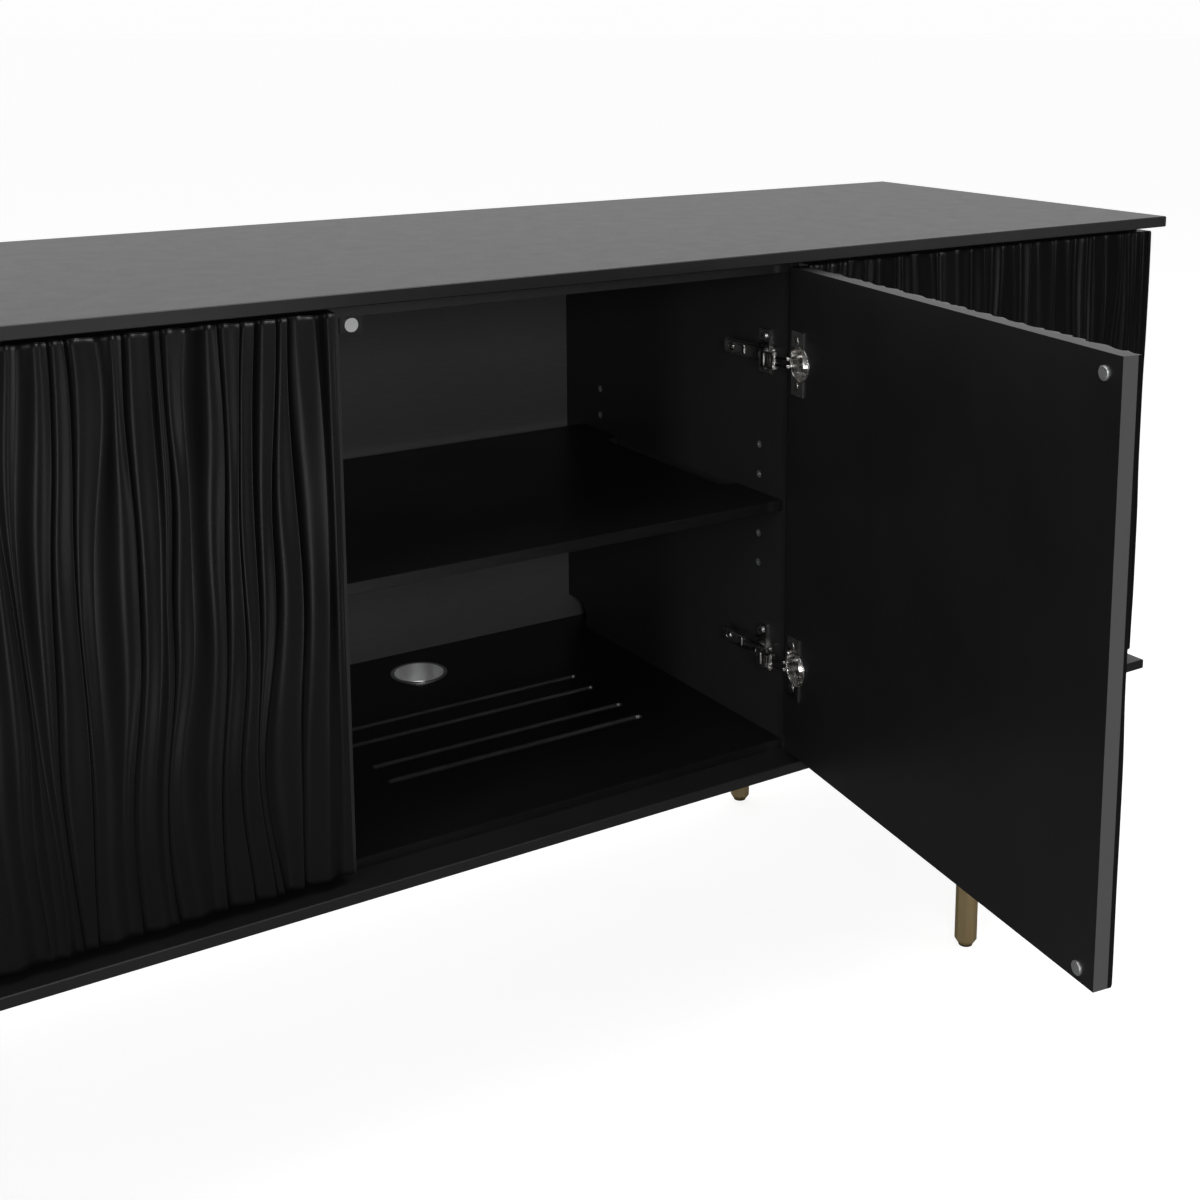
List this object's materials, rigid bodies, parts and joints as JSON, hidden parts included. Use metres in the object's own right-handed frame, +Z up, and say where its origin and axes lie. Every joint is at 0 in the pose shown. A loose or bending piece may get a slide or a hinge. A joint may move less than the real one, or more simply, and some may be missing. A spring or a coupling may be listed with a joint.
{
  "type": "media cabinet",
  "caption": "Low doored media cabinet with rippled door fronts, adjustable shelves, vented floor panels and slim legs; one door stands open.",
  "frame": {"origin": "floor level, at the centre of the box round the whole object with its third door standing open", "axes": "+Z up, +X to the right as seen from the front, the doors face -Y"},
  "size_m": [2.012, 0.973, 0.835],
  "materials": {
    "satin_black_panel": "satin black lacquer",
    "interior_black": "matt black laminate",
    "back_board": "matt black board",
    "screws": "zinc plated",
    "socket_metal": "nickel plated",
    "cable_liner": "satin",
    "brass_leg": "satin brass",
    "leg_plate_steel": "black painted",
    "glide_pad": "moulded",
    "latch_plastic": "moulded",
    "nickel": "nickel plated",
    "door_inner": "satin black lacquer",
    "door_front": "satin black lacquer over carved relief"
  },
  "bodies": {
    "cabinet": {"top_plate": "satin_black_panel", "base_plate": "satin_black_panel", "side_panel_left": "interior_black", "side_panel_right": "interior_black", "divider_left": "interior_black", "divider_centre": "interior_black", "divider_right": "interior_black", "sub_top_1": "interior_black", "sub_top_2": "interior_black", "sub_top_3": "interior_black", "sub_top_4": "interior_black", "floor_panel_1": "interior_black", "floor_panel_2": "interior_black", "floor_panel_3": "interior_black", "floor_panel_4": "interior_black", "back_panel": "back_board", "back_screws": "screws", "shelf_1": "interior_black", "shelf_2": "interior_black", "shelf_3": "interior_black", "shelf_4": "interior_black", "shelf_sockets": "socket_metal", "shelf_pins": "socket_metal", "cable_liners": "cable_liner", "leg_front_left": "brass_leg", "leg_front_right": "brass_leg", "leg_rear_left": "brass_leg", "leg_rear_right": "brass_leg", "leg_plates": "leg_plate_steel", "leg_screws": "screws", "leg_glides": "glide_pad", "latch_housings": "latch_plastic", "hinge_plates": "nickel", "hinge_plate_screws": "screws", "hinge_arms": "nickel"},
    "door_1": {"door_board_1": "door_inner", "door_face_1": "door_front", "strikes_1": "nickel", "hinge_cups_1": "nickel"},
    "links_1": {"hinge_links_1": "nickel"},
    "latch_plunger_1": {"plunger_1": "nickel"},
    "door_2": {"door_board_2": "door_inner", "door_face_2": "door_front", "strikes_2": "nickel", "hinge_cups_2": "nickel"},
    "links_2": {"hinge_links_2": "nickel"},
    "latch_plunger_2": {"plunger_2": "nickel"},
    "door_3": {"door_board_3": "door_inner", "door_face_3": "door_front", "strikes_3": "nickel", "hinge_cups_3": "nickel"},
    "links_3": {"hinge_links_3": "nickel"},
    "latch_plunger_3": {"plunger_3": "nickel"},
    "door_4": {"door_board_4": "door_inner", "door_face_4": "door_front", "strikes_4": "nickel", "hinge_cups_4": "nickel"},
    "links_4": {"hinge_links_4": "nickel"},
    "latch_plunger_4": {"plunger_4": "nickel"}
  },
  "joints": [
    {"name": "door_1_hinge", "type": "hinge", "parent": "cabinet", "child": "door_1", "pos_m": [-0.9985, 0.005, 0.56375], "axis": [0, 0, 1], "range_deg": [-105, 0]},
    {"name": "links_1_pivot", "type": "hinge", "parent": "cabinet", "child": "links_1", "pos_m": [-0.9675, 0.017, 0.56375], "axis": [0, 0, 1], "range_deg": [-0.01, 94.51]},
    {"name": "latch_1_push", "type": "slide", "parent": "cabinet", "child": "latch_plunger_1", "axis": [0, 1, 0], "range_m": [0, 0.0035], "stiffness_N_per_m": 250, "springref_m": -0.001},
    {"name": "door_2_hinge", "type": "hinge", "parent": "cabinet", "child": "door_2", "pos_m": [-0.49825, 0.005, 0.56375], "axis": [0, 0, 1], "range_deg": [-105, 0]},
    {"name": "links_2_pivot", "type": "hinge", "parent": "cabinet", "child": "links_2", "pos_m": [-0.46725, 0.017, 0.56375], "axis": [0, 0, 1], "range_deg": [-0.01, 94.51]},
    {"name": "latch_2_push", "type": "slide", "parent": "cabinet", "child": "latch_plunger_2", "axis": [0, 1, 0], "range_m": [0, 0.0035], "stiffness_N_per_m": 250, "springref_m": -0.001},
    {"name": "door_3_hinge", "type": "hinge", "parent": "cabinet", "child": "door_3", "pos_m": [0.49825, 0.005, 0.56375], "axis": [0, 0, 1], "range_deg": [-81.6, 23.4]},
    {"name": "links_3_pivot", "type": "hinge", "parent": "cabinet", "child": "links_3", "pos_m": [0.46725, 0.017, 0.56375], "axis": [0, 0, 1], "range_deg": [-21.07, 73.45]},
    {"name": "latch_3_push", "type": "slide", "parent": "cabinet", "child": "latch_plunger_3", "axis": [0, 1, 0], "range_m": [0, 0.0035], "stiffness_N_per_m": 250, "springref_m": -0.001},
    {"name": "door_4_hinge", "type": "hinge", "parent": "cabinet", "child": "door_4", "pos_m": [0.9985, 0.005, 0.56375], "axis": [0, 0, 1], "range_deg": [0, 105]},
    {"name": "links_4_pivot", "type": "hinge", "parent": "cabinet", "child": "links_4", "pos_m": [0.9675, 0.017, 0.56375], "axis": [0, 0, 1], "range_deg": [-94.51, 0.01]},
    {"name": "latch_4_push", "type": "slide", "parent": "cabinet", "child": "latch_plunger_4", "axis": [0, 1, 0], "range_m": [0, 0.0035], "stiffness_N_per_m": 250, "springref_m": -0.001}
  ],
  "couplings": [
    {"joint": "links_1_pivot", "follows": "door_1_hinge", "ratio": -0.9},
    {"joint": "links_2_pivot", "follows": "door_2_hinge", "ratio": -0.9},
    {"joint": "links_3_pivot", "follows": "door_3_hinge", "ratio": -0.9},
    {"joint": "links_4_pivot", "follows": "door_4_hinge", "ratio": -0.9}
  ]
}
